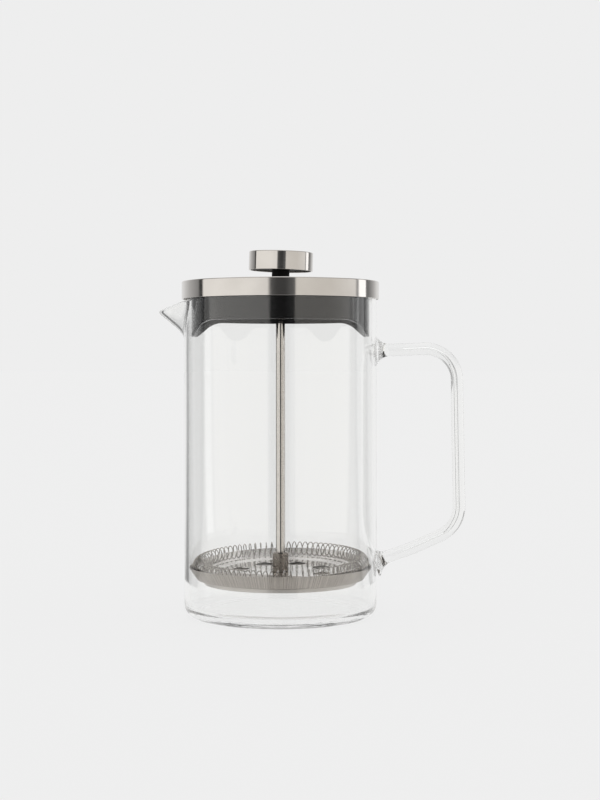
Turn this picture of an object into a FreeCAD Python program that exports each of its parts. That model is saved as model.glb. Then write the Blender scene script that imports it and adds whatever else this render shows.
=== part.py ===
"""French press: glass beaker with a fused handle, a turning lid and a sliding filter plunger.

Millimetres, +Z up. The origin is the centre of the beaker's underside, the spout points to -X
and the handle to +X. The plunger is all the way down, its knob resting on the lid's guide bush.
"""
import FreeCAD
import Part
import Sketcher
import os
import re

V = FreeCAD.Vector

DIMENSIONS = {
    # glass
    "glass_radius": 48.75,
    "glass_wall": 2.1,
    "glass_height": 161.9,
    "base_thick": 3.6,
    "base_corner": 6.5,
    "heel_corner": 5.0,
    # spout, a nose that widens upwards from the wall
    "nose_foot_level": 141.0,
    "nose_foot_reach": 46.9,
    "nose_foot_half": 7.0,
    "nose_foot_tip": 1.0,
    "nose_top_level": 164.0,
    "nose_top_reach": 72.6,
    "nose_top_half": 25.0,
    "nose_top_tip": 2.8,
    "nose_root": 40.0,
    "nose_wall": 2.9,
    "nose_side_wall": 2.0,
    "lip_tip_reach": 61.0,
    "lip_tip_level": 153.6,
    "lip_root_reach": 50.4,
    "lip_root_level": 159.4,
    # handle, a round glass rod
    "handle_rod": 3.15,
    "handle_bend": 16.0,
    "handle_sag_bend": 60.0,
    "handle_root": 44.0,
    "handle_top_level": 134.4,
    "handle_top_corner_x": 89.0,
    "handle_top_corner_level": 136.1,
    "handle_low_corner_x": 90.9,
    "handle_low_corner_level": 45.0,
    "handle_sag_x": 68.0,
    "handle_sag_level": 34.6,
    "handle_low_level": 25.9,
    "foot_root": 47.6,
    "foot_spread": 6.7,
    "foot_depth": 7.5,
    "foot_upper_level": 134.6,
    "foot_upper_tilt": 0.0,
    "foot_lower_level": 29.0,
    "foot_lower_tilt": -20.0,
    # lid
    "cap_radius": 49.9,
    "cap_sheet": 0.7,
    "cap_low": 160.2,
    "cap_top": 169.0,
    "cap_round": 0.6,
    "collar_flange": 49.1,
    "collar_seat": 162.0,
    "collar_seat_thick": 2.0,
    "collar_deck": 2.1,
    "collar_radius": 45.0,
    "collar_wall": 1.5,
    "collar_low": 149.1,
    "lobe_low": 141.3,
    "lobe_corner_x": 36.8,
    "lobe_edge_x": 44.4,
    "lobe_edge_level": 140.9,
    "lobe_round": 12.0,
    "bush_radius": 4.2,
    "bush_flange": 5.6,
    "bush_flange_thick": 0.5,
    "bush_low": 162.6,
    "nut_low": 163.0,
    "nut_half": 5.5,
    "nut_side": 3.175,
    "nut_point": 6.351,
    "nut_thick": 2.8,
    # plunger
    "rod_radius": 2.375,
    "thread_radius": 2.0,
    "rod_low": 17.4,
    "rod_neck": 174.0,
    "rod_top": 181.0,
    "knob_radius": 16.2,
    "knob_sheet": 0.8,
    "knob_low": 174.7,
    "knob_top": 184.1,
    "knob_round": 0.6,
    "knob_recess": 175.4,
    "neck_radius": 4.45,
    "neck_low": 169.6,
    "neck_round": 1.6,
    "insert_radius": 3.4,
    "insert_low": 173.0,
    "insert_top": 181.6,
    "ferrule_radius": 4.07,
    "ferrule_low": 22.5,
    "ferrule_top": 32.3,
    "ferrule_bevel": 0.6,
    "plate_sheet": 0.6,
    "plate_floor": 22.5,
    "plate_floor_radius": 32.0,
    "plate_step_radius": 34.5,
    "plate_step": 23.5,
    "plate_cone_radius": 36.4,
    "plate_edge": 42.4,
    "plate_rim": 27.3,
    "plate_hole": 4.5,
    "plate_hole_across": 20.8,
    "plate_hole_up": 8.6,
    "plate_holes": 8,
    "coil_circle": 41.5,
    "coil_radius": 3.25,
    "coil_wire": 0.55,
    "coil_level": 27.35,
    "coil_slot": 0.9,
    "mesh_thick": 0.3,
    "mesh_disc_radius": 33.0,
    "mesh_low": 19.2,
    "mesh_low_inner": 39.6,
    "mesh_corner": 42.2,
    "mesh_rim": 46.35,
    "mesh_rim_level": 25.7,
    "cross_sheet": 0.7,
    "cross_radius": 38.6,
    "cross_dome": 31.0,
    "cross_low": 16.8,
    "cross_shoulder": 18.9,
    "cross_window_inner": 11.0,
    "cross_window_outer": 27.0,
    "cross_window_half_inner": 2.6,
    "cross_window_half_outer": 8.5,
    "cross_windows": 6,
    "clamp_radius": 5.5,
    # fits, and how far a cut runs past the part
    "clearance": 0.05,
    "overcut": 2.0,
}

doc = FreeCAD.newDocument("french_press")
sheet = doc.addObject("Spreadsheet::Sheet", "dims")
for row, (alias, value) in enumerate(DIMENSIONS.items(), start=1):
    sheet.set("A%d" % row, alias)
    sheet.set("B%d" % row, str(value))
    sheet.setAlias("B%d" % row, alias)
doc.recompute()

nodes = []


def term(text):
    """Turns words such as 'cap_top - cap_sheet' into references to the sheet's cells."""
    return re.sub(r"[a-z][a-z_]*", r"dims.\g<0>", str(text))


def amount(text):
    """The present value of such words, as a plain number."""
    return float(sheet.evalExpression(term(text)))


def bind(thing, **sizes):
    """Sets properties of an object from the sheet."""
    for prop, text in sizes.items():
        thing.setExpression(prop, term(text))


def new_body(label):
    """A new sub-part. Its label is the name of its file."""
    body = doc.addObject("PartDesign::Body", "body_" + label)
    body.Label = label
    nodes.append(body)
    return body


def plane(body, role):
    """One of the body's own origin planes."""
    return next(f for f in body.Origin.OriginFeatures if f.Role == role)


def sketch_on(body, role, name, level="0"):
    """An empty sketch on an origin plane, moved along the plane's normal by level."""
    sketch = body.newObject("Sketcher::SketchObject", name)
    sketch.AttachmentSupport = [(plane(body, role), "")]
    sketch.MapMode = "FlatFace"
    if level != "0":
        sketch.setExpression("AttachmentOffset.Base.z", term(level))
    return sketch


def pin_point(sketch, edge, end, across, up):
    """Fixes one end of an edge at a distance across and up from the sketch's origin."""
    for kind, axis, text in (("DistanceX", -2, across), ("DistanceY", -1, up)):
        if text == "0":
            sketch.addConstraint(Sketcher.Constraint("PointOnObject", edge, end, axis))
        else:
            rule = Sketcher.Constraint(kind, -1, 1, edge, end, amount(text))
            number = sketch.addConstraint(rule)
            sketch.setExpression("Constraints[%d]" % number, term(text))


def polygon(sketch, corners):
    """A closed outline through the corners, each one given as (across, up) in the sheet's words."""
    places = [V(amount(across), amount(up), 0) for across, up in corners]
    for i, (across, up) in enumerate(corners):
        edge = sketch.addGeometry(Part.LineSegment(places[i], places[(i + 1) % len(places)]), False)
        pin_point(sketch, edge, 1, across, up)
    for i in range(len(corners)):
        rule = Sketcher.Constraint("Coincident", i, 2, (i + 1) % len(corners), 1)
        sketch.addConstraint(rule)
    return sketch


def bend_corner(sketch, before, after, radius):
    """Rounds the corner between two straight edges of a sketch with a tangent arc."""
    touch = []
    for edge in (before, after):
        line = sketch.Geometry[edge]
        touch.append((line.StartPoint + line.EndPoint) * 0.5)
    arc = sketch.GeometryCount
    sketch.fillet(before, after, touch[0], touch[1], amount(radius), True, True)
    number = sketch.addConstraint(Sketcher.Constraint("Radius", arc, amount(radius)))
    sketch.setExpression("Constraints[%d]" % number, term(radius))
    doc.recompute()


def circle(sketch, radius, across="0", up="0"):
    """A circle whose centre and radius follow the sheet."""
    centre = V(amount(across), amount(up), 0)
    edge = sketch.addGeometry(Part.Circle(centre, V(0, 0, 1), amount(radius)), False)
    pin_point(sketch, edge, 3, across, up)
    number = sketch.addConstraint(Sketcher.Constraint("Radius", edge, amount(radius)))
    sketch.setExpression("Constraints[%d]" % number, term(radius))
    return sketch


def turned(label, corners):
    """A body turned about Z from the corners (radius, level) of its half section."""
    body = new_body(label)
    section = polygon(sketch_on(body, "XZ_Plane", label + "_section"), corners)
    turning = body.newObject("PartDesign::Revolution", label + "_turning")
    turning.Profile = section
    turning.ReferenceAxis = (section, ["V_Axis"])
    turning.Angle = 360
    doc.recompute()
    return body


def rounded(body, radius, wanted, kind="PartDesign::Fillet"):
    """Rounds or bevels the edges for which wanted(edge) is true."""
    base = body.Tip
    names = ["Edge%d" % (i + 1) for i, edge in enumerate(base.Shape.Edges) if wanted(edge)]
    if not names:
        raise RuntimeError("no edge to round on " + body.Label)
    feature = body.newObject(kind, body.Label + "_edge_%d" % len(body.Group))
    feature.Base = (base, names)
    bind(feature, **{"Radius" if kind.endswith("Fillet") else "Size": radius})
    doc.recompute()


def ring_at(radius, level):
    """Picks the full circular edge of that radius at that level."""
    def wanted(edge):
        curve = edge.Curve
        return (isinstance(curve, Part.Circle)
                and abs(curve.Radius - amount(radius)) < 1e-4
                and abs(curve.Center.z - amount(level)) < 1e-4)
    return wanted


def pocket(body, sketch, name, reach="cap_top", both=False):
    """Cuts a sketch upwards, or to both sides, and makes sure that something was removed."""
    before = body.Shape.Volume
    cut = body.newObject("PartDesign::Pocket", name)
    cut.Profile = sketch
    cut.Type = "Length"
    cut.SideType = "Symmetric" if both else "One side"
    cut.Reversed = not both
    bind(cut, Length=reach)
    doc.recompute()
    if body.Shape.isNull() or body.Shape.Volume > before - 1e-3:
        raise RuntimeError(name + " cuts nothing")
    return cut


def around(body, feature, sketch, count):
    """Repeats a cut evenly about the sketch's normal."""
    pattern = body.newObject("PartDesign::PolarPattern", feature.Name + "_pattern")
    pattern.Originals = [feature]
    pattern.Axis = (sketch, ["N_Axis"])
    pattern.Angle = 360
    bind(pattern, Occurrences=count)
    body.Tip = pattern
    doc.recompute()


def bent_path(sketch, corners, bends):
    """An open run of straight lines through the corners, with a tangent arc at each inner corner."""
    places = [V(amount(across), amount(up), 0) for across, up in corners]
    for i in range(len(places) - 1):
        sketch.addGeometry(Part.LineSegment(places[i], places[i + 1]), False)
        pin_point(sketch, i, 1, *corners[i])
        if i:
            sketch.addConstraint(Sketcher.Constraint("Coincident", i - 1, 2, i, 1))
    pin_point(sketch, len(places) - 2, 2, *corners[-1])
    doc.recompute()
    for i, bend in enumerate(bends):
        bend_corner(sketch, i, i + 1, bend)
    return sketch


def nose_section(body, name, level, reach, half, tip):
    """One level of the spout's nose: a trapezium that narrows towards its tip at -X."""
    corners = [("-nose_root", half), ("-(%s)" % reach, tip),
               ("-(%s)" % reach, "-(%s)" % tip), ("-nose_root", "-(%s)" % half)]
    return polygon(sketch_on(body, "XY_Plane", name, level), corners)


def nose(body, kind, name, wall, side_wall, tip_share):
    """Lofts the nose, or its hollow when a wall is given, from its foot to its top."""
    foot = nose_section(body, name + "_foot", "nose_foot_level", "nose_foot_reach - " + wall,
                        "nose_foot_half - " + side_wall, "nose_foot_tip * " + tip_share)
    top = nose_section(body, name + "_top", "nose_top_level", "nose_top_reach - " + wall,
                       "nose_top_half - " + side_wall, "nose_top_tip * " + tip_share)
    loft = body.newObject(kind, name)
    loft.Profile = foot
    loft.Sections = [top]
    loft.Ruled = True
    doc.recompute()


def make_beaker():
    """Straight glass with a flat base, and a spout drawn out of its rim."""
    body = turned("glass_beaker", [
        ("0", "0"), ("glass_radius", "0"), ("glass_radius", "glass_height"), ("0", "glass_height")])
    rounded(body, "base_corner", ring_at("glass_radius", "0"))
    nose(body, "PartDesign::AdditiveLoft", "spout", "0", "0", "1")
    bore = sketch_on(body, "XY_Plane", "bore_circle", "base_thick")
    circle(bore, "glass_radius - glass_wall")
    pocket(body, bore, "bore", "nose_top_level")
    rounded(body, "heel_corner", ring_at("glass_radius - glass_wall", "base_thick"))
    nose(body, "PartDesign::SubtractiveLoft", "spout_hollow", "nose_wall", "nose_side_wall", "0.5")
    lip = polygon(sketch_on(body, "XZ_Plane", "lip_line"), [
        ("-(lip_tip_reach * 2 - lip_root_reach)", "lip_tip_level * 2 - lip_root_level"),
        ("-lip_root_reach", "lip_root_level"), ("-glass_radius", "lip_root_level"),
        ("-glass_radius", "glass_height"), ("-nose_root", "glass_height"),
        ("-nose_root", "nose_top_level + overcut"),
        ("-(lip_tip_reach * 2 - lip_root_reach)", "nose_top_level + overcut")])
    pocket(body, lip, "lip", "(nose_top_half + overcut) * 2", both=True)
    shoulder = sketch_on(body, "XY_Plane", "shoulder_rings", "lip_root_level")
    circle(shoulder, "glass_radius")
    circle(shoulder, "nose_top_reach + overcut")
    pocket(body, shoulder, "shoulder", "nose_top_level")


def make_handle():
    """Round glass rod, bent to a D and fused to the beaker by two flared feet."""
    body = new_body("glass_handle")
    path = bent_path(sketch_on(body, "XZ_Plane", "handle_path"), [
        ("handle_root", "handle_top_level"),
        ("handle_top_corner_x", "handle_top_corner_level"),
        ("handle_low_corner_x", "handle_low_corner_level"),
        ("handle_sag_x", "handle_sag_level"),
        ("handle_root", "handle_low_level")],
        ["handle_bend", "handle_bend", "handle_sag_bend"])
    start = sketch_on(body, "YZ_Plane", "handle_start", "handle_root")
    circle(start, "handle_rod", "0", "handle_top_level")
    rod = body.newObject("PartDesign::AdditivePipe", "handle_bar")
    rod.Profile = start
    rod.Spine = path
    doc.recompute()
    feet = (("upper_foot", "foot_upper_level", "foot_upper_tilt"),
            ("lower_foot", "foot_lower_level", "foot_lower_tilt"))
    for name, level, tilt in feet:
        foot = body.newObject("PartDesign::AdditiveCone", name)
        foot.AttachmentSupport = [(plane(body, "YZ_Plane"), "")]
        foot.MapMode = "FlatFace"
        bind(foot, Radius1="foot_spread", Radius2="handle_rod", Height="foot_depth")
        bind(foot, **{"AttachmentOffset.Base.y": level, "AttachmentOffset.Base.z": "foot_root",
                      "AttachmentOffset.Rotation.Pitch": "0", "AttachmentOffset.Rotation.Roll": tilt,
                      "AttachmentOffset.Rotation.Yaw": "0"})
        doc.recompute()
    wall = sketch_on(body, "XY_Plane", "wall_circle")
    circle(wall, "glass_radius")
    pocket(body, wall, "wall", "glass_height")


def make_cap():
    """Polished steel cap: a flat top with a turned-down wall round the beaker's rim."""
    body = turned("lid_cap", [
        ("bush_radius + clearance", "cap_top"), ("cap_radius", "cap_top"), ("cap_radius", "cap_low"),
        ("cap_radius - cap_sheet", "cap_low"), ("cap_radius - cap_sheet", "cap_top - cap_sheet"),
        ("bush_radius + clearance", "cap_top - cap_sheet")])
    rounded(body, "cap_round", ring_at("cap_radius", "cap_top"))


def make_collar():
    """Black plastic collar: a deck under the cap, a seat on the glass rim and a lobed skirt."""
    body = turned("lid_collar", [
        ("bush_radius + clearance", "cap_top - cap_sheet"),
        ("collar_flange", "cap_top - cap_sheet"),
        ("collar_flange", "cap_top - cap_sheet - collar_deck"),
        ("collar_radius", "cap_top - cap_sheet - collar_deck"),
        ("collar_radius", "collar_seat + collar_seat_thick"),
        ("collar_flange", "collar_seat + collar_seat_thick"),
        ("collar_flange", "collar_seat"),
        ("collar_radius", "collar_seat"),
        ("collar_radius", "lobe_low"),
        ("collar_radius - collar_wall", "lobe_low"),
        ("collar_radius - collar_wall", "cap_top - cap_sheet - collar_deck"),
        ("bush_radius + clearance", "cap_top - cap_sheet - collar_deck")])
    gap = polygon(sketch_on(body, "XZ_Plane", "lobe_gap"), [
        ("-lobe_corner_x", "collar_low"), ("lobe_corner_x", "collar_low"),
        ("lobe_edge_x", "lobe_edge_level"), ("-lobe_edge_x", "lobe_edge_level")])
    doc.recompute()
    bend_corner(gap, 3, 0, "lobe_round")
    bend_corner(gap, 0, 1, "lobe_round")
    pocket(body, gap, "lobe_gaps", "(collar_radius + overcut) * 2", both=True)


def make_bush():
    """Flanged guide bush for the rod, threaded outside to take the nut below the lid."""
    turned("guide_bush", [
        ("rod_radius + clearance", "bush_low"), ("bush_radius", "bush_low"),
        ("bush_radius", "cap_top + clearance"), ("bush_flange", "cap_top + clearance"),
        ("bush_flange", "cap_top + bush_flange_thick"),
        ("rod_radius + clearance", "cap_top + bush_flange_thick")])


def make_guide_nut():
    """Thin hexagonal nut that holds cap, collar and bush together."""
    body = new_body("guide_nut")
    base = sketch_on(body, "XY_Plane", "nut_hexagon", "nut_low")
    polygon(base, [
        ("nut_point", "0"), ("nut_side", "nut_half"), ("-nut_side", "nut_half"),
        ("-nut_point", "0"), ("-nut_side", "-nut_half"), ("nut_side", "-nut_half")])
    pad = body.newObject("PartDesign::Pad", "nut_pad")
    pad.Profile = base
    bind(pad, Length="nut_thick")
    doc.recompute()
    bore = circle(sketch_on(body, "XY_Plane", "nut_bore_circle"), "bush_radius")
    pocket(body, bore, "nut_bore")


def make_knob():
    """Steel knob shell over a black core whose neck rests on the guide bush, and its brass insert."""
    shell = turned("knob_shell", [
        ("0", "knob_top - knob_sheet"), ("0", "knob_top"), ("knob_radius", "knob_top"),
        ("knob_radius", "knob_low"), ("knob_radius - knob_sheet", "knob_low"),
        ("knob_radius - knob_sheet", "knob_top - knob_sheet")])
    rounded(shell, "knob_round", ring_at("knob_radius", "knob_top"))
    core = turned("knob_core", [
        ("rod_radius + clearance", "neck_low"), ("neck_radius", "neck_low"),
        ("neck_radius", "knob_recess"), ("knob_radius - knob_sheet", "knob_recess"),
        ("knob_radius - knob_sheet", "knob_top - knob_sheet"), ("0", "knob_top - knob_sheet"),
        ("0", "insert_top"), ("insert_radius", "insert_top"), ("insert_radius", "insert_low"),
        ("rod_radius + clearance", "insert_low")])
    rounded(core, "neck_round", ring_at("neck_radius", "neck_low"))
    turned("knob_insert", [
        ("rod_radius + clearance", "insert_low"), ("insert_radius", "insert_low"),
        ("insert_radius", "insert_top"), ("0", "insert_top"), ("0", "rod_top + clearance"),
        ("thread_radius", "rod_top + clearance"), ("thread_radius", "rod_neck"),
        ("rod_radius + clearance", "rod_neck")])


def make_rod():
    """Steel rod with a reduced, threaded end in the knob and another in the clamp nut."""
    turned("plunger_rod", [
        ("0", "rod_low"), ("thread_radius", "rod_low"), ("thread_radius", "ferrule_low"),
        ("rod_radius", "ferrule_low"), ("rod_radius", "rod_neck"), ("thread_radius", "rod_neck"),
        ("thread_radius", "rod_top"), ("0", "rod_top")])
    ferrule = turned("rod_ferrule", [
        ("rod_radius", "ferrule_low"), ("ferrule_radius", "ferrule_low"),
        ("ferrule_radius", "ferrule_top"), ("rod_radius", "ferrule_top")])
    rounded(ferrule, "ferrule_bevel", ring_at("ferrule_radius", "ferrule_top"),
            "PartDesign::Chamfer")


def make_spring_plate():
    """Dished round plate with holes in its floor and a cone-shaped rim that carries the coil."""
    under = " - plate_sheet"
    upper = [("thread_radius", "plate_floor"), ("plate_floor_radius", "plate_floor"),
             ("plate_step_radius", "plate_step"), ("plate_cone_radius", "plate_step"),
             ("plate_edge", "plate_rim")]
    lower = [(radius, level + under) for radius, level in reversed(upper)]
    body = turned("spring_plate", upper + lower)
    hole = sketch_on(body, "XY_Plane", "plate_hole_circle")
    circle(hole, "plate_hole", "plate_hole_across", "plate_hole_up")
    around(body, pocket(body, hole, "plate_hole_cut"), hole, "plate_holes")


def make_coil():
    """Envelope of the wire coil that presses the mesh to the glass, slit for the plate's rim."""
    outer = doc.addObject("Part::Torus", "coil_outside")
    bind(outer, Radius1="coil_circle", Radius2="coil_radius")
    inner = doc.addObject("Part::Torus", "coil_inside")
    bind(inner, Radius1="coil_circle", Radius2="coil_radius - coil_wire")
    tube = doc.addObject("Part::Cut", "coil_tube")
    tube.Base = outer
    tube.Tool = inner
    tube.setExpression("Placement.Base.z", term("coil_level"))
    above = " + coil_slot / 2"
    below = " - plate_sheet - coil_slot / 2"
    slit = turned("coil_slit", [
        ("plate_cone_radius", "plate_step" + above), ("plate_edge", "plate_rim" + above),
        ("plate_edge", "plate_rim" + below), ("plate_cone_radius", "plate_step" + below)])
    nodes.remove(slit)
    coil = doc.addObject("Part::Cut", "coil_ring")
    coil.Base = tube
    coil.Tool = slit
    coil.Label = "coil_spring"
    nodes.append(coil)


def make_mesh():
    """Woven screen: a disc clamped at its centre, a sloping fold and a flared band."""
    turned("mesh_screen", [
        ("thread_radius", "plate_floor - plate_sheet"),
        ("mesh_disc_radius", "plate_floor - plate_sheet"),
        ("mesh_low_inner", "mesh_low + mesh_thick"),
        ("mesh_corner - mesh_thick", "mesh_low + mesh_thick"),
        ("mesh_rim - mesh_thick", "mesh_rim_level"), ("mesh_rim", "mesh_rim_level"),
        ("mesh_corner", "mesh_low"), ("mesh_low_inner", "mesh_low"),
        ("mesh_disc_radius", "plate_floor - plate_sheet - mesh_thick"),
        ("thread_radius", "plate_floor - plate_sheet - mesh_thick")])


def make_cross_plate():
    """Domed lower plate with a turned-down edge and windows that let the drink through."""
    top = "plate_floor - plate_sheet - mesh_thick"
    body = turned("cross_plate", [
        ("thread_radius", top), ("cross_dome", top), ("cross_radius", "cross_shoulder"),
        ("cross_radius", "cross_low"), ("cross_radius - cross_sheet", "cross_low"),
        ("cross_radius - cross_sheet", "cross_shoulder - cross_sheet"),
        ("cross_dome", top + " - cross_sheet"), ("thread_radius", top + " - cross_sheet")])
    window = sketch_on(body, "XY_Plane", "window_outline")
    polygon(window, [
        ("cross_window_inner", "cross_window_half_inner"),
        ("cross_window_inner", "-cross_window_half_inner"),
        ("cross_window_outer", "-cross_window_half_outer"),
        ("cross_window_outer", "cross_window_half_outer")])
    around(body, pocket(body, window, "window_cut"), window, "cross_windows")


def make_clamp_nut():
    """Round threaded nut on the rod's lower end, which clamps plates and mesh to the ferrule."""
    top = "plate_floor - plate_sheet - mesh_thick - cross_sheet"
    body = turned("clamp_nut", [
        ("thread_radius", "rod_low"), ("clamp_radius", "rod_low"), ("clamp_radius", top),
        ("thread_radius", top)])
    rounded(body, "ferrule_bevel", ring_at("clamp_radius", "rod_low"), "PartDesign::Chamfer")


def check_everything():
    """Stops before anything is written if a feature failed or a sub-part isn't a sound solid."""
    for thing in doc.Objects:
        if "Invalid" in thing.State or "Error" in thing.State:
            raise RuntimeError("%s failed: %s" % (thing.Name, thing.State))
    for node in nodes:
        if node.Shape.isNull() or not node.Shape.isValid() or not node.Shape.Solids:
            raise RuntimeError(node.Label + " is not a sound solid")


make_beaker()
make_handle()
make_cap()
make_collar()
make_bush()
make_guide_nut()
make_knob()
make_rod()
make_spring_plate()
make_coil()
make_mesh()
make_cross_plate()
make_clamp_nut()
doc.recompute()
check_everything()

os.makedirs("parts", exist_ok=True)
for node in nodes:
    node.Shape.exportStep("parts/%s.step" % node.Label)
    box = node.Shape.BoundBox
    print("%-14s %d solid(s) %9.1f mm3  x %.2f..%.2f  y %.2f..%.2f  z %.2f..%.2f" % (
        node.Label, len(node.Shape.Solids), node.Shape.Volume,
        box.XMin, box.XMax, box.YMin, box.YMax, box.ZMin, box.ZMax))
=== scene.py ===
"""French press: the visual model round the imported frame. Metres, +Z up, spout towards -X."""
import math
import bmesh
import bpy
from mathutils import Matrix, Vector


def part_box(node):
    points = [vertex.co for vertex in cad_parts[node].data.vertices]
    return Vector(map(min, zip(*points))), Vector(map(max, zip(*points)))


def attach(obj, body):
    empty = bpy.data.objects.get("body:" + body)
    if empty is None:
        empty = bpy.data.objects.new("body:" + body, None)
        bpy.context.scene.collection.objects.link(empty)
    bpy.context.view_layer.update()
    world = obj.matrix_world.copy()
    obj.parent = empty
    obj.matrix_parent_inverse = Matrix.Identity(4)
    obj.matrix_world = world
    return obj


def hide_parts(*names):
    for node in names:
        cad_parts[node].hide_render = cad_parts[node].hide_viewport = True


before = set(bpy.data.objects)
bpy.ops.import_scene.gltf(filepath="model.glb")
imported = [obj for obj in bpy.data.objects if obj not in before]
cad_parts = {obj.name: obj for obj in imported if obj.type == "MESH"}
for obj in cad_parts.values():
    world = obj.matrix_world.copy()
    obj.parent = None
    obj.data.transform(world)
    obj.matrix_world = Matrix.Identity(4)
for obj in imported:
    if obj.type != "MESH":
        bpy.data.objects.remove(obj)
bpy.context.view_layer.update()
MM = 0.001

# Camera and studio
CAMERA_DISTANCE = 0.780
CAMERA_HEIGHT = 0.1264
CAMERA_SIDEWAYS = 0.0099
CAMERA_PITCH = math.radians(1.252)
CAMERA_LENS = 69.26
SENSOR = 36.0
PALE = 0.855
FLOOR_PALE = 0.8654
FLOOR_HALF = 40.0
FLOOR_DROP = 0.02 * MM
# share of the floor that takes real light, and so shadow; the rest glows evenly
FLOOR_SHADOW = 0.06
# nearer to the press's axis than this, the floor is an even grey to every ray
SHADE_START = 150 * MM
BOUNCES = 1000
# one thickness of glass is passed into and out of: a depth of 1 to 3 counts as inside it
GLASS_PASSES = 2.0
GLASS_PASSES_MARGIN = 1.2
QUARTER_TURN = 0.25

# Glass
BASE_CORNER = 6.5 * MM
WALL = 2.1 * MM
BASE_EXTRA = 1.3 * MM
PUNT_RADIUS = 35 * MM
PUNT_RISE = 0.5 * MM
SPOUT_HALF_TURN = math.radians(22)
SPOUT_FOOT = 139 * MM
LIP_STEP = 2.2 * MM
LIP_DROP = 8.3 * MM
HANDLE_ROD = 3.15 * MM
HANDLE_FOOT = 3.9 * MM
HANDLE_FOOT_LENGTH = 7.0 * MM
AIR_LINE = 0.45 * MM
AIR_LINE_UPRIGHT = 0.7 * MM

# Distance of the extra points that keep flat faces flat beside a rounded edge
HOLD = 0.06 * MM

# How far the knob and the loose filter plate stand off true; 0 makes each one straight
KNOB_TILT = math.radians(1.6)
LEAN_BACK = 0.055
LEAN_SIDE = 0.02

# Wound wire and woven wire
COIL_LOOPS = 86
WIRE = 0.275 * MM
WEAVE_PITCH = 0.32 * MM
BAND_RADIUS = 44 * MM
# width of the streaks of painted shade and highlight on the woven band
PAINTED_STREAK = 0.45 * MM


# ---------------------------------------------------------------- mesh helpers

def arc_corner(before, corner, after, radius, steps):
    """Points of a tangent arc that replaces a corner of a flat outline."""
    back = (before - corner).normalized()
    on = (after - corner).normalized()
    half = back.angle(on) / 2
    centre = corner + (back + on).normalized() * radius / math.sin(half)
    start = corner + back * radius / math.tan(half)
    arm = start - centre
    turn = math.pi - 2 * half
    if (back.x * on.y - back.y * on.x) > 0:
        turn = -turn
    points = []
    for i in range(steps + 1):
        a = turn * i / steps
        points.append(centre + Vector((arm.x * math.cos(a) - arm.y * math.sin(a),
                                       arm.x * math.sin(a) + arm.y * math.cos(a))))
    return points


def outline(corners, closed=True, steps=6):
    """A flat outline from corners (across, up, rounding) in metres."""
    flat = [Vector(c[:2]) for c in corners]
    count = len(flat)
    points = []
    for i, corner in enumerate(corners):
        radius = corner[2] if len(corner) > 2 else 0
        if radius and (closed or 0 < i < count - 1):
            points += arc_corner(flat[i - 1], flat[i], flat[(i + 1) % count], radius, steps)
        else:
            points.append(flat[i])
    return held(points, closed)


def held(points, closed):
    """Adds a point near each end of every long run, so that flat faces shade flat."""
    kept = []
    for i, here in enumerate(points):
        kept.append(here)
        if i == len(points) - 1 and not closed:
            break
        run = points[(i + 1) % len(points)] - here
        if run.length > 6 * HOLD:
            step = run.normalized() * HOLD
            kept += [here + step, here + run - step]
    return kept


def smooth(mesh, angle=35):
    """Smooth shading, with sharp edges where faces meet at more than the angle in degrees."""
    mesh.shade_smooth()
    mesh.set_sharp_from_angle(angle=math.radians(angle))
    return mesh


def mesh_from(bm, name, angle=35):
    """A finished mesh from a bmesh, with its normals outwards."""
    bmesh.ops.remove_doubles(bm, verts=bm.verts, dist=1e-7)
    bmesh.ops.recalc_face_normals(bm, faces=bm.faces)
    mesh = bpy.data.meshes.new(name)
    bm.to_mesh(mesh)
    bm.free()
    return smooth(mesh, angle)


def grid_faces(bm, rows, wrap_columns=True, wrap_rows=False):
    """Joins rows of vertices with four-sided faces."""
    pairs = len(rows) if wrap_rows else len(rows) - 1
    for j in range(pairs):
        low, high = rows[j], rows[(j + 1) % len(rows)]
        columns = len(low) if wrap_columns else len(low) - 1
        for i in range(columns):
            k = (i + 1) % len(low)
            corners = []
            for v in (low[i], low[k], high[k], high[i]):
                if v not in corners:
                    corners.append(v)
            if len(corners) > 2:
                bm.faces.new(corners)


def turned(name, points, closed=True, segments=224, angle=35, shift=None):
    """A mesh turned about Z from outline points. shift(turn, point) may move each point."""
    bm = bmesh.new()
    rows = []
    for p in points:
        if p.x < 1e-9:
            rows.append([bm.verts.new((0, 0, p.y))] * segments)
            continue
        row = []
        for i in range(segments):
            turn = 2 * math.pi * i / segments
            q = shift(turn, p) if shift else p
            row.append(bm.verts.new((q.x * math.cos(turn), q.x * math.sin(turn), q.y)))
        rows.append(row)
    grid_faces(bm, rows, wrap_rows=closed)
    return mesh_from(bm, name, angle)


def object_of(mesh, name):
    """Links a mesh into the scene as an object."""
    made = bpy.data.objects.new(name, mesh)
    bpy.context.scene.collection.objects.link(made)
    return made


def combined(name, base, tools, operation, angle=35):
    """The exact boolean of a mesh and a list of tool meshes, as a new mesh."""
    work = object_of(base, name + "_work")
    helpers = [object_of(tool, "%s_tool_%d" % (name, i)) for i, tool in enumerate(tools)]
    for i, helper in enumerate(helpers):
        step = work.modifiers.new("step_%d" % i, "BOOLEAN")
        step.operation = operation
        step.solver = "EXACT"
        step.object = helper
    bpy.context.view_layer.update()
    depsgraph = bpy.context.evaluated_depsgraph_get()
    mesh = bpy.data.meshes.new_from_object(work.evaluated_get(depsgraph))
    mesh.name = name
    for helper in helpers + [work]:
        bpy.data.objects.remove(helper)
    return smooth(mesh, angle)


def piece(name, mesh, material, body, slot, *nodes):
    """Puts a mesh in the scene as a piece that rides on a body and stands for CAD nodes."""
    mesh.materials.clear()
    mesh.materials.append(material)
    made = object_of(mesh, name)
    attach(made, body)
    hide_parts(*nodes)
    return made


# ---------------------------------------------------------------- materials

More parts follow.
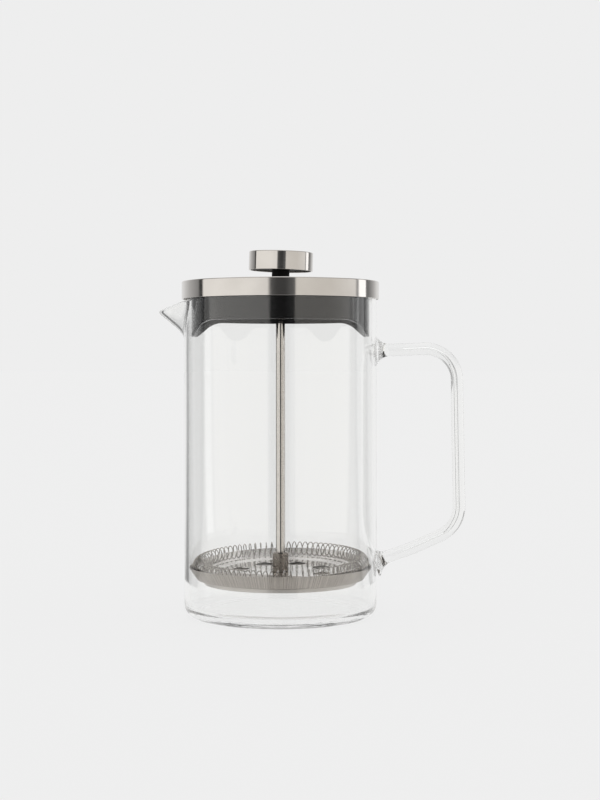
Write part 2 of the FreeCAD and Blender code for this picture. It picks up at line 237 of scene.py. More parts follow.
def new_material(name, **sockets):
    """A Principled material with constants set on the shader's own sockets."""
    material = bpy.data.materials.new(name)
    material.use_nodes = True
    shader = material.node_tree.nodes["Principled BSDF"]
    for socket, value in sockets.items():
        shader.inputs[socket.replace("_", " ")].default_value = value
    return material, material.node_tree, shader


def add_node(tree, kind, **settings):
    """A node with some of its inputs or properties set."""
    made = tree.nodes.new(kind)
    for key, value in settings.items():
        if key in made.inputs:
            made.inputs[key].default_value = value
        else:
            setattr(made, key, value)
    return made


def math_node(tree, operation, *values):
    """The result of a maths node on sockets or constants."""
    made = add_node(tree, "ShaderNodeMath", operation=operation)
    for i, value in enumerate(values):
        if isinstance(value, (int, float)):
            made.inputs[i].default_value = value
        else:
            tree.links.new(value, made.inputs[i])
    return made.outputs["Value"]


def place(tree):
    """The object's own coordinates, in metres."""
    return add_node(tree, "ShaderNodeTexCoord").outputs["Object"]


def mottled(tree, scale, low, high, detail=4.0):
    """A soft noise value between low and high."""
    noise = add_node(tree, "ShaderNodeTexNoise", Scale=scale, Detail=detail)
    tree.links.new(place(tree), noise.inputs["Vector"])
    spread = add_node(tree, "ShaderNodeMapRange")
    tree.links.new(noise.outputs["Fac"], spread.inputs["Value"])
    spread.inputs["From Min"].default_value = 0.3
    spread.inputs["From Max"].default_value = 0.7
    spread.inputs["To Min"].default_value = low
    spread.inputs["To Max"].default_value = high
    return spread.outputs["Result"]


def add_bump(tree, shader, value, distance, strength=1.0):
    """Feeds a height value to the shader's normal."""
    bump = add_node(tree, "ShaderNodeBump", Strength=strength, Distance=distance)
    tree.links.new(value, bump.inputs["Height"])
    tree.links.new(bump.outputs["Normal"], shader.inputs["Normal"])


def tinted(tree, shader, value, dark, light):
    """Base colour between two colours, by a value from 0 to 1."""
    mix = add_node(tree, "ShaderNodeMix", data_type="RGBA")
    mix.inputs["A"].default_value = dark
    mix.inputs["B"].default_value = light
    tree.links.new(value, mix.inputs["Factor"])
    tree.links.new(mix.outputs["Result"], shader.inputs["Base Color"])


def make_glass():
    """Clear blown glass with the faint waviness of hand work."""
    material, tree, shader = new_material(
        "clear_glass", Base_Color=(0.986, 0.988, 0.984, 1), Roughness=0.0, IOR=1.47,
        Transmission_Weight=1.0)
    add_bump(tree, shader, mottled(tree, 28, 0, 1, 2.0), 0.05 * MM, 0.35)
    return material


def make_polished():
    """Mirror-polished stainless steel with faint wiping marks."""
    material, tree, shader = new_material("polished_steel", Metallic=1.0)
    tinted(tree, shader, mottled(tree, 60, 0, 1), (0.60, 0.575, 0.55, 1), (0.66, 0.635, 0.61, 1))
    tree.links.new(mottled(tree, 220, 0.05, 0.10), shader.inputs["Roughness"])
    return material


def make_pressed():
    """Bright pressed stainless sheet and drawn wire."""
    material, tree, shader = new_material("pressed_steel", Metallic=1.0)
    tinted(tree, shader, mottled(tree, 90, 0, 1), (0.58, 0.56, 0.54, 1), (0.68, 0.66, 0.64, 1))
    tree.links.new(mottled(tree, 300, 0.07, 0.14), shader.inputs["Roughness"])
    add_bump(tree, shader, mottled(tree, 900, 0, 1), 0.02 * MM, 0.5)
    return material


def make_satin():
    """Plain satin-finished stainless sheet."""
    material, tree, shader = new_material("satin_steel", Metallic=1.0)
    tinted(tree, shader, mottled(tree, 90, 0, 1), (0.62, 0.59, 0.56, 1), (0.70, 0.67, 0.64, 1))
    tree.links.new(mottled(tree, 300, 0.42, 0.50), shader.inputs["Roughness"])
    return material


def make_wire():
    """Bright drawn wire."""
    material, tree, shader = new_material("wire_steel", Metallic=1.0)
    tinted(tree, shader, mottled(tree, 700, 0, 1), (0.34, 0.32, 0.29, 1), (0.66, 0.63, 0.60, 1))
    tree.links.new(mottled(tree, 400, 0.05, 0.10), shader.inputs["Roughness"])
    return material


def make_turned_steel():
    """Machined steel, dulled and browned by use."""
    material, tree, shader = new_material("turned_steel", Metallic=1.0)
    tinted(tree, shader, mottled(tree, 200, 0, 1), (0.31, 0.28, 0.25, 1), (0.44, 0.40, 0.365, 1))
    tree.links.new(mottled(tree, 500, 0.22, 0.34), shader.inputs["Roughness"])
    return material


def make_matt_black():
    """Black moulded plastic with a dull face."""
    material, tree, shader = new_material("matt_black", IOR=1.45, Specular_IOR_Level=0.15)
    tinted(tree, shader, mottled(tree, 120, 0, 1), (0.006, 0.006, 0.006, 1), (0.012, 0.012, 0.012, 1))
    tree.links.new(mottled(tree, 500, 0.5, 0.65), shader.inputs["Roughness"])
    return material


def make_woven():
    """Fine woven stainless wire: a weave for its height, and streaks of painted shade and highlight
    round it in place of the light on its pleats.
    """
    material, tree, shader = new_material("woven_steel", Metallic=1.0)
    split = add_node(tree, "ShaderNodeSeparateXYZ")
    tree.links.new(place(tree), split.inputs["Vector"])
    x, y, z = (split.outputs[a] for a in "XYZ")
    wave = 2 * math.pi / WEAVE_PITCH
    turn = math_node(tree, "ARCTAN2", y, x)
    across = math_node(tree, "SINE", math_node(tree, "MULTIPLY", turn, BAND_RADIUS * wave))
    radius = math_node(tree, "SQRT", math_node(tree, "MULTIPLY_ADD", x, x,
                                               math_node(tree, "MULTIPLY", y, y)))
    along = math_node(tree, "SINE", math_node(tree, "MULTIPLY",
                                              math_node(tree, "ADD", radius, z), wave))
    height = math_node(tree, "MULTIPLY_ADD", across, along, 0.5)
    # painted shade and highlight: the base colour goes darker and lighter in narrow streaks round the
    # band, standing in for the light on its pleats
    painted_pleat_shade = add_node(tree, "ShaderNodeTexNoise", noise_dimensions="1D", Scale=1.0, Detail=1.0)
    tree.links.new(math_node(tree, "MULTIPLY", turn, BAND_RADIUS / PAINTED_STREAK), painted_pleat_shade.inputs["W"])
    spread = add_node(tree, "ShaderNodeMapRange")
    tree.links.new(painted_pleat_shade.outputs["Fac"], spread.inputs["Value"])
    spread.inputs["From Min"].default_value = 0.3
    spread.inputs["From Max"].default_value = 0.7
    tinted(tree, shader, spread.outputs["Result"], (0.28, 0.254, 0.228, 1), (0.59, 0.545, 0.50, 1))
    tree.links.new(mottled(tree, 400, 0.30, 0.44), shader.inputs["Roughness"])
    add_bump(tree, shader, height, 0.05 * MM, 0.25)
    return material


def make_black():
    """Gloss black moulded plastic with a very fine texture."""
    material, tree, shader = new_material("black_plastic", IOR=1.5)
    tinted(tree, shader, mottled(tree, 120, 0, 1), (0.003, 0.003, 0.0035, 1), (0.006, 0.006, 0.0065, 1))
    tree.links.new(mottled(tree, 500, 0.04, 0.08), shader.inputs["Roughness"])
    add_bump(tree, shader, mottled(tree, 2500, 0, 1), 0.002 * MM, 0.3)
    return material


def make_brass():
    """Machined brass."""
    material, tree, shader = new_material("brass", Metallic=1.0)
    tinted(tree, shader, mottled(tree, 150, 0, 1), (0.62, 0.45, 0.20, 1), (0.74, 0.57, 0.28, 1))
    tree.links.new(mottled(tree, 500, 0.2, 0.32), shader.inputs["Roughness"])
    return material


GLASS = make_glass()
POLISHED = make_polished()
PRESSED = make_pressed()
SATIN = make_satin()
WOVEN = make_woven()
BLACK = make_black()
MATT_BLACK = make_matt_black()
WIRE_STEEL = make_wire()
TURNED_STEEL = make_turned_steel()
BRASS = make_brass()


# ---------------------------------------------------------------- glass

def ease(value):
    """0 to 1 with a soft start and end."""
    value = min(1.0, max(0.0, value))
    return value * value * (3 - 2 * value)


def spout_share(turn):
    """How much of the spout's reach the rim has at a turn from -X."""
    share = abs(turn) / SPOUT_HALF_TURN
    return 0.5 + 0.5 * math.cos(math.pi * share) if share < 1 else 0.0


def beaker_mesh():
    """The beaker: a closed skin of glass with a drawn spout, walls of real thickness and a punt."""
    low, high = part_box("glass_beaker")
    radius, rim, reach = high.x, high.z, -low.x - high.x
    foot = outline([(0, PUNT_RISE), (PUNT_RADIUS, PUNT_RISE, 60 * MM),
                    (radius - BASE_CORNER - 2.5 * MM, 0, 8 * MM), (radius - BASE_CORNER, 0)],
                   closed=False)
    foot += [Vector((radius - BASE_CORNER + BASE_CORNER * math.sin(a),
                     BASE_CORNER - BASE_CORNER * math.cos(a)))
             for a in (math.pi / 2 * i / 12 for i in range(1, 13))]
    wall_rows = 32
    spout_rows = 46
    turns = [math.radians(1.5) * i for i in range(240)]
    turns += [math.radians(180 + 0.5 * i) for i in range(-50, 51) if i % 3]
    turns.sort()

    def rim_level(turn):
        share = ease((1.35 - abs(turn) / SPOUT_HALF_TURN) / 0.4)
        return rim - LIP_STEP * share - (LIP_DROP - LIP_STEP) * spout_share(turn)

    def outside(turn, share):
        """A point of the outer wall, share 0 at the spout's foot and 1 at the rim."""
        off = turn - math.pi
        top = rim_level(off)
        level = SPOUT_FOOT + (top - SPOUT_FOOT) * share
        start = SPOUT_FOOT + 0.8 * (top - SPOUT_FOOT) * min(1, abs(off) / SPOUT_HALF_TURN) ** 1.5
        rise = max(0.0, (level - start) / (top - start))
        bend = 0.5
        pull = rise * rise / (2 * bend) if rise < bend else rise - bend / 2
        out = reach * spout_share(off) * pull / (1 - bend / 2)
        return Vector((radius * math.cos(turn) - out, radius * math.sin(turn), level))

    bm = bmesh.new()
    rows = []
    thickness = []
    for p in foot:
        if p.x < 1e-9:
            rows.append([bm.verts.new((0, 0, p.y))] * len(turns))
        else:
            rows.append([bm.verts.new((p.x * math.cos(t), p.x * math.sin(t), p.y)) for t in turns])
        thickness.append(WALL + BASE_EXTRA * ease(1 - p.y / BASE_CORNER))
    for j in range(1, wall_rows):
        level = BASE_CORNER + (SPOUT_FOOT - BASE_CORNER) * j / wall_rows
        rows.append([bm.verts.new((radius * math.cos(t), radius * math.sin(t), level))
                     for t in turns])
        thickness.append(WALL)
    for j in range(spout_rows + 1):
        rows.append([bm.verts.new(outside(t, j / spout_rows)) for t in turns])
        thickness.append(WALL)
    grid_faces(bm, rows)
    bm.normal_update()
    if rows[-10][0].normal.x < 0:
        bmesh.ops.reverse_faces(bm, faces=bm.faces)
        bm.normal_update()
    # the inner skin follows the outer one at the wall's thickness
    inner = []
    for row, thick in zip(rows, thickness):
        if row[0] is row[1]:
            inner.append([bm.verts.new(row[0].co - row[0].normal * thick)] * len(row))
        else:
            inner.append([bm.verts.new(v.co - v.normal * thick) for v in row])
    grid_faces(bm, inner)
    # a rounded rim joins the two
    rim_rows = [rows[-1]]
    for k in range(1, 6):
        a = math.pi * k / 6
        row = []
        for i in range(len(turns)):
            outer_top, inner_top = rows[-1][i].co, inner[-1][i].co
            up = (rows[-1][i].co - rows[-2][i].co).normalized()
            middle = (outer_top + inner_top) / 2
            arm = (outer_top - inner_top) / 2
            row.append(bm.verts.new(middle + arm * math.cos(a) + up * arm.length * math.sin(a)))
        rim_rows.append(row)
    rim_rows.append(inner[-1])
    grid_faces(bm, rim_rows)
    # the rounding stands above the rim line, so everything near the top is let down by it
    over = max(v.co.z for v in bm.verts) - rim
    for v in bm.verts:
        v.co.z -= over * ease((v.co.z - SPOUT_FOOT) / (rim - SPOUT_FOOT))
    return mesh_from(bm, "beaker", 50)


def handle_path():
    """The handle's centre line in X and Z, from inside the upper wall to inside the lower wall."""
    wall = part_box("glass_beaker")[1].x
    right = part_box("glass_handle")[1].x - HANDLE_ROD
    corners = [
        (wall - 1.3 * MM, 134.5 * MM), (wall + 14 * MM, 134.9 * MM, 60 * MM),
        (right - 1.6 * MM, 136.1 * MM, 16 * MM), (right + 0.2 * MM, 45.0 * MM, 16 * MM),
        (68 * MM, 34.6 * MM, 60 * MM), (wall - 1.3 * MM, 27.3 * MM)]
    rough = outline(corners, closed=False, steps=24)
    points = []
    step = 0.8 * MM
    for a, b in zip(rough, rough[1:]):
        count = max(1, round((b - a).length / step))
        points += [a.lerp(b, i / count) for i in range(count)]
    return points + [rough[-1]]


def handle_mesh():
    """The handle's round rod, with a flared foot at each end."""
    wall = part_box("glass_beaker")[1].x
    points = handle_path()
    sides = 40
    bm = bmesh.new()
    rows = []
    for i, p in enumerate(points):
        ahead = points[min(i + 1, len(points) - 1)] - points[max(i - 1, 0)]
        ahead.normalize()
        across = Vector((-ahead.y, ahead.x))
        away = (p.x - wall) / HANDLE_FOOT_LENGTH
        flare = HANDLE_FOOT * max(0.0, 1 - max(away, -0.1)) ** 2.6
        size = HANDLE_ROD + flare
        row = []
        for k in range(sides):
            a = 2 * math.pi * k / sides
            flat = p + across * size * math.cos(a)
            row.append(bm.verts.new((flat.x, size * math.sin(a), flat.y)))
        rows.append(row)
    grid_faces(bm, rows)
    for row in (rows[0], rows[-1]):
        bm.faces.new(row)
    return mesh_from(bm, "handle", 50)


def air_line_mesh():
    """The fine air line drawn out inside the handle's rod, wider in its upright part."""
    points = handle_path()[20:-20]
    sides = 16
    bm = bmesh.new()
    rows = []
    for i, p in enumerate(points):
        ahead = points[min(i + 1, len(points) - 1)] - points[max(i - 1, 0)]
        ahead.normalize()
        across = Vector((-ahead.y, ahead.x))
        upright = ease((abs(ahead.y) - 0.5) / 0.4)
        size = AIR_LINE + (AIR_LINE_UPRIGHT - AIR_LINE) * upright
        middle = p + across * (-0.5 * MM * upright)
        row = []
        for k in range(sides):
            a = 2 * math.pi * k / sides
            flat = middle + across * size * math.cos(a)
            row.append(bm.verts.new((flat.x, size * math.sin(a), flat.y)))
        rows.append(row)
    grid_faces(bm, rows)
    for row in (rows[0], rows[-1]):
        bm.faces.new(row)
    return mesh_from(bm, "air_line", 50)


def make_glassware():
    """Beaker and handle are one fused piece of glass."""
    mesh = combined("glassware", beaker_mesh(), [handle_mesh()], "UNION", 50)
    mesh = combined("glassware", mesh, [air_line_mesh()], "DIFFERENCE", 50)
    piece("glassware", mesh, GLASS, "beaker", "glass", "glass_beaker", "glass_handle")


# ---------------------------------------------------------------- lid

def make_cap():
    """Spun steel cap with a rounded shoulder."""
    low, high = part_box("lid_cap")
    sheet = 0.7 * MM
    bore = 4.25 * MM
    mesh = turned("lid_cap", outline([
        (bore, high.z), (high.x, high.z, 0.5 * MM), (high.x, low.z, 0.15 * MM),
        (high.x - sheet, low.z, 0.15 * MM), (high.x - sheet, high.z - sheet, 0.3 * MM),
        (bore, high.z - sheet)]), segments=288)
    piece("cap", mesh, POLISHED, "lid", "polished_steel", "lid_cap")


def make_collar():
    """Moulded collar whose skirt hangs lower on the spout side and the handle side."""
    low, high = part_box("lid_collar")
    cap_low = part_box("lid_cap")[0].z
    skirt = 45 * MM
    wall = 1.5 * MM
    deck = high.z - 2.1 * MM
    seat = cap_low + 1.8 * MM
    gap = 149.1 * MM
    bore = 4.25 * MM

    def bottom(turn):
        """The skirt's lower edge: flat lobes, a straight flank and a rounded shoulder."""
        x = abs(skirt * math.cos(turn))
        lobe, shoulder, bend = 44.4 * MM, 36.8 * MM, 12 * MM
        slope = (gap - low.z) / (lobe - shoulder)
        flank = math.atan(slope)
        start = shoulder - bend * math.tan(flank / 2)
        if x < start:
            return gap
        drop = bend - math.sqrt(max(0.0, bend ** 2 - min(x - start, bend) ** 2))
        if x - start > bend * math.sin(flank):
            drop = (x - shoulder) * slope
        return max(low.z, gap - drop)

    def shift(turn, p):
        share = (deck - p.y) / (deck - low.z)
        if p.x > skirt + 0.1 * MM or share <= 0 or p.y > seat - 0.5 * MM:
            return p
        return Vector((p.x, deck - share * (deck - bottom(turn))))

    mesh = turned("lid_collar", outline([
        (bore, high.z), (high.x, high.z, 0.3 * MM), (high.x, deck, 0.3 * MM),
        (skirt, deck, 0.3 * MM), (skirt, seat + 2 * MM, 0.4 * MM), (high.x, seat + 2 * MM, 0.3 * MM),
        (high.x, seat, 0.3 * MM), (skirt, seat, 0.3 * MM), (skirt, seat - 1 * MM),
        (skirt, low.z, 0.5 * MM), (skirt - wall, low.z, 0.5 * MM), (skirt - wall, seat - 1 * MM),
        (skirt - wall, deck, 0.8 * MM), (bore, deck)]), segments=288, shift=shift)
    piece("collar", mesh, BLACK, "lid", "black_plastic", "lid_collar")


# ---------------------------------------------------------------- plunger

def tilted(mesh, pivot):
    """Tips the knob a little to the right on its thread, as it sits on the rod."""
    mesh.transform(Matrix.Translation(pivot) @ Matrix.Rotation(KNOB_TILT, 4, "Y")
                   @ Matrix.Translation(-pivot))
    return mesh


def make_knob():
    """Steel knob shell, and the black core whose neck shows under it."""
    low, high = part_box("knob_shell")
    sheet = 0.8 * MM
    shell = turned("knob_shell", outline([
        (0, high.z), (high.x, high.z, 0.45 * MM), (high.x, low.z, 0.15 * MM),
        (high.x - sheet, low.z, 0.15 * MM), (high.x - sheet, high.z - sheet),
        (0, high.z - sheet)], closed=False))
    foot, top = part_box("knob_core")
    pivot = Vector((0, 0, foot.z))
    piece("knob_shell_skin", tilted(shell, pivot), POLISHED, "plunger", "polished_steel", "knob_shell")
    recess = low.z + 0.7 * MM
    neck = 4.45 * MM
    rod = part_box("plunger_rod")[1].x + 0.05 * MM
    core = turned("knob_core", outline([
        (rod, foot.z), (neck, foot.z, 2.0 * MM), (neck, recess, 0.6 * MM), (top.x, recess),
        (top.x, top.z), (0, top.z), (0, top.z - 1 * MM), (rod, top.z - 1 * MM)]),
        segments=128)
    piece("knob_core_skin", tilted(core, pivot), MATT_BLACK, "plunger", "black_plastic", "knob_core")


def make_rod():
    """Polished rod and the sleeve pressed on it above the filter."""
    low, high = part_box("plunger_rod")
    thread = 2.0 * MM
    sleeve_low, sleeve_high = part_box("rod_ferrule")
    neck = 174 * MM
    rod = turned("plunger_rod", outline([
        (0, low.z), (thread, low.z, 0.3 * MM), (thread, sleeve_low.z), (high.x, sleeve_low.z),
        (high.x, neck, 0.3 * MM), (thread, neck), (thread, high.z, 0.3 * MM), (0, high.z)],
        closed=False), segments=96)
    piece("rod", rod, POLISHED, "plunger", "polished_steel", "plunger_rod")
    sleeve = turned("rod_ferrule", outline([
        (high.x, sleeve_low.z), (sleeve_high.x, sleeve_low.z, 0.2 * MM),
        (sleeve_high.x, sleeve_high.z - 0.6 * MM, 0.2 * MM),
        (sleeve_high.x - 0.7 * MM, sleeve_high.z, 0.2 * MM), (high.x, sleeve_high.z)]),
        segments=96)
    piece("sleeve", sleeve, TURNED_STEEL, "plunger", "polished_steel", "rod_ferrule")


def hole_cutter(x, y, low, high, radius, flare):
    """A round cutter, wider at its top, for a hole with a softened edge."""
    sides = 48
    bm = bmesh.new()
    rows = []
    for level, size in ((low, radius), (high, radius), (high + flare, radius + flare),
                        (high + 5 * flare, radius + flare)):
        rows.append([bm.verts.new((x + size * math.cos(2 * math.pi * i / sides),
                                   y + size * math.sin(2 * math.pi * i / sides), level))
                     for i in range(sides)])
    grid_faces(bm, rows)
    for row in (rows[0], rows[-1]):
        bm.faces.new(row)
    return mesh_from(bm, "cutter")


def leaning(mesh):
    """Leans a filter part off level, more towards its rim: the plate sits loose on its stack."""
    for v in mesh.vertices:
        share = ease(math.hypot(v.co.x, v.co.y) / (12 * MM) - 0.4)
        v.co.z += share * (LEAN_BACK * v.co.y + LEAN_SIDE * v.co.x)
    return mesh


def make_spring_plate():
    """Pressed plate: a dished floor with holes and a cone-shaped rim that carries the coil."""
    low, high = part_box("spring_plate")
    sheet = 0.6 * MM
    floor = low.z + sheet
    step = 23.5 * MM
    bore = 2.0 * MM
    holes = 8
    hole = 4.5 * MM
    hole_ring = 22.5 * MM
    flare = 0.2 * MM
    upper = [(bore, floor), (32 * MM, floor, 1.2 * MM), (34.5 * MM, step, 1.0 * MM),
             (36.4 * MM, step, 1.0 * MM), (high.x, high.z, 0.2 * MM)]
    lower = [(x, z - sheet, *bend) for x, z, *bend in reversed(upper)]
    plate = turned("spring_plate", outline(upper + lower))
    cutters = []
    for i in range(holes):
        a = math.radians(22.5 + 45 * i)
        cutters.append(hole_cutter(hole_ring * math.cos(a), hole_ring * math.sin(a),
                                   low.z - 1 * MM, floor - flare, hole, flare))
    mesh = combined("spring_plate", plate, cutters, "DIFFERENCE")
    piece("dished_plate", leaning(mesh), PRESSED, "plunger", "filter_steel", "spring_plate")


def make_coil():
    """One wire wound in loops round the plate's rim."""
    low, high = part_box("coil_spring")
    small = (high.z - low.z) / 2 - WIRE
    large = high.x - (high.z - low.z) / 2
    middle = (high.z + low.z) / 2
    around, sides = 30, 8
    total = COIL_LOOPS * around

    def centre_line(i):
        turn = 2 * math.pi * i / total
        wind = COIL_LOOPS * turn
        uneven = 1 + 0.035 * math.sin(7 * turn + 1.0) + 0.02 * math.sin(23 * turn)
        r = large + small * math.cos(wind) * uneven
        return Vector((r * math.cos(turn), r * math.sin(turn), middle + small * math.sin(wind)))

    bm = bmesh.new()
    rows = []
    for i in range(total):
        here = centre_line(i)
        ahead = (centre_line(i + 1) - centre_line(i - 1)).normalized()
        turn = 2 * math.pi * i / total
        hub = Vector((large * math.cos(turn), large * math.sin(turn), middle))
        outwards = here - hub
        outwards = (outwards - ahead * outwards.dot(ahead)).normalized()
        aside = ahead.cross(outwards)
        rows.append([bm.verts.new(here + (outwards * math.cos(a) + aside * math.sin(a)) * WIRE)
                     for a in (2 * math.pi * k / sides for k in range(sides))])
    grid_faces(bm, rows, wrap_rows=True)
    mesh = leaning(mesh_from(bm, "coil", 80))
    piece("coil", mesh, WIRE_STEEL, "plunger", "filter_steel", "coil_spring")


def make_mesh():
    """Woven screen: clamped disc, sloping fold and a flared band with fine pleats."""
    low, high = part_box("mesh_screen")
    thick = 0.3 * MM
    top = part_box("spring_plate")[0].z
    corner = 42.2 * MM

    def pleats(turn, p):
        share = ease((p.y - low.z) / (high.z - low.z)) * (p.x > corner - 1 * MM)
        wave = math.sin(180 * turn) * 0.6 + math.sin(97 * turn + 1.3) * 0.4
        return Vector((p.x - 0.10 * MM * share * (1 + wave), p.y))

    under = outline([(2 * MM, top - thick), (33 * MM, top - thick, 3 * MM),
                     (39.6 * MM, low.z, 2 * MM), (corner, low.z, 0.8 * MM), (high.x, high.z)],
                    closed=False, steps=8)
    above = outline([(high.x - thick, high.z), (corner - thick, low.z + thick, 0.5 * MM),
                     (39.6 * MM, low.z + thick, 2 * MM), (33 * MM, top, 3 * MM), (2 * MM, top)],
                    closed=False, steps=8)
    band = [under[-1].lerp(under[-2], i / 10) for i in range(10, -1, -1)]
    mesh = turned("mesh_screen", under[:-2] + band + above, segments=1080, shift=pleats, angle=60)
    piece("screen", mesh, WOVEN, "plunger", "woven_steel", "mesh_screen")


def make_cross_plate():
    """Domed lower plate with a turned-down edge and six windows."""
    low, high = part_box("cross_plate")
    sheet = 0.7 * MM
    dome = 31 * MM
    shoulder = 18.9 * MM
    bore = 2.0 * MM
    windows = 6
    plate = turned("cross_plate", outline([
        (bore, high.z), (dome, high.z, 2 * MM), (high.x, shoulder, 0.7 * MM),
        (high.x, low.z, 0.25 * MM), (high.x - sheet, low.z, 0.2 * MM),
        (high.x - sheet, shoulder - sheet, 0.5 * MM), (dome, high.z - sheet, 2 * MM),
        (bore, high.z - sheet)]))
    cutters = []
    for i in range(windows):
        corners = outline([(11 * MM, 2.6 * MM, 1 * MM), (11 * MM, -2.6 * MM, 1 * MM),
                           (27 * MM, -8.5 * MM, 2 * MM), (27 * MM, 8.5 * MM, 2 * MM)])
        a = math.radians(60 * i)
        bm = bmesh.new()
        rows = [[bm.verts.new((p.x * math.cos(a) - p.y * math.sin(a),
                               p.x * math.sin(a) + p.y * math.cos(a), level)) for p in corners]
                for level in (low.z, high.z + 1 * MM)]
        grid_faces(bm, rows)
        for row in rows:
            bm.faces.new(row)
        cutters.append(mesh_from(bm, "window"))
    mesh = combined("cross_plate", plate, cutters, "DIFFERENCE")
    piece("lower_plate", mesh, SATIN, "plunger", "filter_steel", "cross_plate")


def dress_cad_nodes():
    """Materials for the small CAD pieces that show as they are."""
    for node, material in (("guide_bush", POLISHED), ("guide_nut", PRESSED),
                           ("knob_insert", BRASS), ("clamp_nut", PRESSED)):
        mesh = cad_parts[node].data
        mesh.materials.clear()
        mesh.materials.append(material)


# ---------------------------------------------------------------- studio

def make_camera():
    """The photograph's viewing angle: level with the glass, a little to the right of it."""
    data = bpy.data.cameras.new("camera")
    data.lens = CAMERA_LENS
    data.sensor_width = SENSOR
    data.clip_end = 100
    camera = bpy.data.objects.new("camera", data)
    camera.location = (CAMERA_SIDEWAYS, -CAMERA_DISTANCE, CAMERA_HEIGHT)
    camera.rotation_euler = (math.pi / 2 - CAMERA_PITCH, 0, 0)
    bpy.context.scene.collection.objects.link(camera)
    bpy.context.scene.camera = camera


def ramp(tree, value, stops):
    """A colour ramp of grey or coloured stops (position 0 to 1, colour)."""
    made = add_node(tree, "ShaderNodeValToRGB")
    tree.links.new(value, made.inputs["Fac"])
    elements = made.color_ramp.elements
    while len(elements) < len(stops):
        elements.new(0.5)
    for element, stop in zip(elements, stops):
        element.position = stop[0]
    for element, stop in zip(made.color_ramp.elements, stops):
        colour = stop[1]
        element.color = (*colour, 1) if isinstance(colour, tuple) else (colour,) * 3 + (1,)
    return made.outputs["Color"]


def at(degrees):
    """A bearing as a ramp position: 0 is towards the camera, positive to the right."""
    return degrees / 360 + 0.5


def blend(tree, factor, first, second):
    """A mix of two colours, each a constant or a socket."""
    mix = add_node(tree, "ShaderNodeMix", data_type="RGBA")
    tree.links.new(factor, mix.inputs["Factor"])
    for socket, value in (("A", first), ("B", second)):
        if isinstance(value, tuple):
            mix.inputs[socket].default_value = value
        else:
            tree.links.new(value, mix.inputs[socket])
    return mix.outputs["Result"]


def bearing_of(tree, split):
    """The bearing of a direction or place, as a ramp position from 0 to 1."""
    turn = math_node(tree, "ARCTAN2", split.outputs["X"],
                     math_node(tree, "MULTIPLY", split.outputs["Y"], -1))
    return math_node(tree, "MULTIPLY_ADD", turn, 1 / (2 * math.pi), 0.5)


def lamps_round(tree, bearing):
    """Soft boxes left and right with a dark gap towards the camera and a narrow bright strip."""
    left = (1.12, 1.10, 1.06)
    right = (0.88, 0.85, 0.80)
    return ramp(tree, bearing, [
        (at(-180), PALE), (at(-150), PALE), (at(-118), 0.45), (at(-108), 0.32), (at(-106.5), 0.08),
        (at(-100.5), 0.06), (at(-99.5), left), (at(-40), left), (at(-14), (1.02, 1.0, 0.97)),
        (at(-10.5), 0.14), (at(-4), 0.07), (at(6), 0.06), (at(17), 0.16), (at(18.5), right),
        (at(60), right), (at(97), (1.0, 0.98, 0.95)), (at(99), 0.45), (at(102), 0.45),
        (at(104), 1.6), (at(117), 1.6), (at(118), 0.22), (at(124), 0.25), (at(150), PALE),
        (at(180), PALE)])


def seen_round(tree, bearing, lamps, level=None, overhead=None):
    """The colour a ray meets at a bearing, by what it went through on the way.

    A ray that was never reflected sees a pale round with a grey band behind on each side. One that
    was reflected sees the lamps, except that one reflected inside a thickness of glass sees dark
    bands behind the press. level is 1 where both sets of bands show and 0 where an even grey and
    the overhead light replace them.
    """
    plain = ramp(tree, bearing, [
        (at(-152), PALE), (at(-146), 0.45), (at(-128), 0.25), (at(-112), PALE),
        (at(112), PALE), (at(128), 0.30), (at(146), 0.50), (at(152), PALE)])
    banded = ramp(tree, bearing, [
        (at(-162), PALE), (at(-154), 0.45), (at(-146), 0.14), (at(-100), 0.12), (at(-92), 0.9),
        (at(92), 0.9), (at(100), 0.14), (at(122), 0.16), (at(128), 0.45), (at(134), 1.0),
        (at(160), PALE)])
    if level:
        plain = blend(tree, level, (PALE, PALE, PALE, 1), plain)
        banded = blend(tree, level, overhead, banded)
    path = add_node(tree, "ShaderNodeLightPath")
    straight = math_node(tree, "LESS_THAN", path.outputs["Glossy Depth"], 0.5)
    passes = path.outputs["Transmission Depth"]
    within = math_node(tree, "COMPARE", passes, GLASS_PASSES, GLASS_PASSES_MARGIN)
    turn = math_node(tree, "ABSOLUTE", math_node(tree, "SUBTRACT", bearing, 0.5))
    behind = math_node(tree, "GREATER_THAN", turn, QUARTER_TURN)
    lit = blend(tree, math_node(tree, "MULTIPLY", within, behind), lamps, banded)
    return blend(tree, straight, lit, plain)


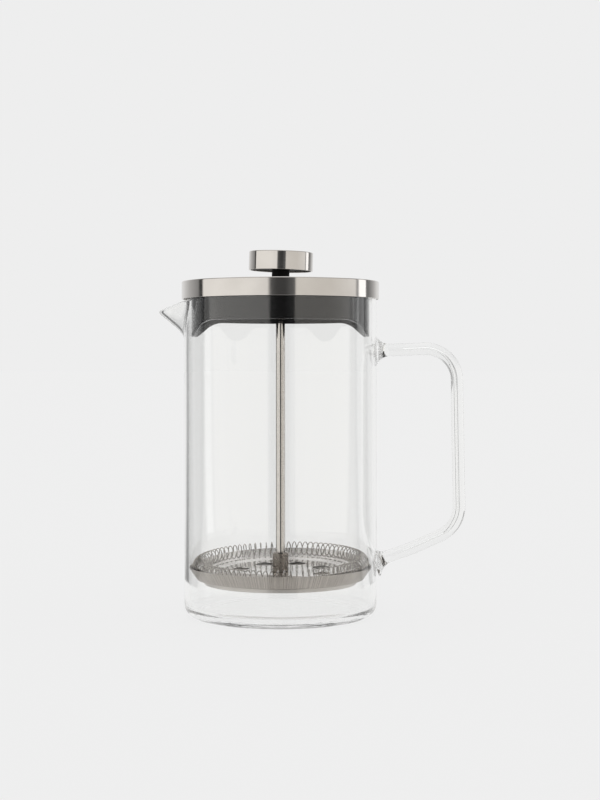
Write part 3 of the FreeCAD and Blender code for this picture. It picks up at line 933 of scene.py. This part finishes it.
def make_studio():
    """Soft boxes left and right, a dark gap round the camera and a pale sweep behind.

    The camera sees an even grey instead, and seen_round says what every other ray sees: this is
    a studio trick and not a physical set of lamps.
    """
    world = bpy.data.worlds.new("studio")
    bpy.context.scene.world = world
    world.use_nodes = True
    tree = world.node_tree
    tree.nodes.clear()
    split = add_node(tree, "ShaderNodeSeparateXYZ")
    way = add_node(tree, "ShaderNodeTexCoord").outputs["Generated"]
    tree.links.new(way, split.inputs["Vector"])
    bearing = bearing_of(tree, split)
    height = math_node(tree, "MULTIPLY_ADD", split.outputs["Z"], 0.5, 0.5)

    def up(degrees):
        return math.sin(math.radians(degrees)) / 2 + 0.5

    sides = lamps_round(tree, bearing)
    front = ramp(tree, bearing, [
        (at(-150), 0.0), (at(-120), 1.0), (at(120), 1.0), (at(150), 0.0)])
    gap = ramp(tree, height, [(up(16), 0.0), (up(22), 1.0), (up(40), 1.0), (up(48), 0.0)])
    above = ramp(tree, height, [(up(40), 0.0), (up(50), 1.0)])
    lamps = blend(tree, math_node(tree, "MULTIPLY", front, gap), sides, (0.22, 0.21, 0.20, 1))
    lamps = blend(tree, above, lamps, (1.0, 1.0, 1.0, 1))
    level = ramp(tree, height, [(up(28), 1.0), (up(40), 0.0)])
    overhead = ramp(tree, height, [(up(36), PALE), (up(44), 1.3)])
    lit = seen_round(tree, bearing, lamps, level, overhead)
    camera_ray = add_node(tree, "ShaderNodeLightPath").outputs["Is Camera Ray"]
    light = add_node(tree, "ShaderNodeBackground")
    tree.links.new(blend(tree, camera_ray, lit, (PALE, PALE, PALE, 1)), light.inputs["Color"])
    out = add_node(tree, "ShaderNodeOutputWorld")
    tree.links.new(light.outputs["Background"], out.inputs["Surface"])
    scene = bpy.context.scene
    scene.view_settings.view_transform = "Standard"
    scene.cycles.max_bounces = BOUNCES
    scene.cycles.glossy_bounces = BOUNCES
    scene.cycles.transmission_bounces = BOUNCES


def make_floor():
    """A plain pale floor with a hint of shadow. Further out, reflected rays see the studio in it."""
    bm = bmesh.new()
    bm.faces.new([bm.verts.new((x * FLOOR_HALF, y * FLOOR_HALF, -FLOOR_DROP))
                  for x, y in ((-1, -1), (1, -1), (1, 1), (-1, 1))])
    mesh = bpy.data.meshes.new("floor")
    bm.to_mesh(mesh)
    bm.free()
    material = bpy.data.materials.new("pale_floor")
    material.use_nodes = True
    tree = material.node_tree
    tree.nodes.clear()
    split = add_node(tree, "ShaderNodeSeparateXYZ")
    tree.links.new(place(tree), split.inputs["Vector"])
    bearing = bearing_of(tree, split)
    distance = add_node(tree, "ShaderNodeVectorMath", operation="LENGTH")
    tree.links.new(place(tree), distance.inputs[0])
    bent = add_node(tree, "ShaderNodeLightPath").outputs["Glossy Depth"]
    shaded = math_node(tree, "MULTIPLY", math_node(tree, "GREATER_THAN", bent, 0.5),
                       math_node(tree, "GREATER_THAN", distance.outputs["Value"], SHADE_START))
    shade = blend(tree, shaded, (FLOOR_PALE, FLOOR_PALE, FLOOR_PALE, 1),
                  seen_round(tree, bearing, lamps_round(tree, bearing)))
    glow = add_node(tree, "ShaderNodeEmission")
    tree.links.new(shade, glow.inputs["Color"])
    matt = add_node(tree, "ShaderNodeBsdfDiffuse", Color=(0.93, 0.93, 0.93, 1))
    mix = add_node(tree, "ShaderNodeMixShader")
    mix.inputs["Fac"].default_value = FLOOR_SHADOW
    tree.links.new(glow.outputs["Emission"], mix.inputs[1])
    tree.links.new(matt.outputs["BSDF"], mix.inputs[2])
    out = add_node(tree, "ShaderNodeOutputMaterial")
    tree.links.new(mix.outputs["Shader"], out.inputs["Surface"])
    mesh.materials.append(material)
    object_of(mesh, "floor")


make_camera()
make_studio()
make_floor()
make_glassware()
make_cap()
make_collar()
make_knob()
make_rod()
make_spring_plate()
make_coil()
make_mesh()
make_cross_plate()
dress_cad_nodes()
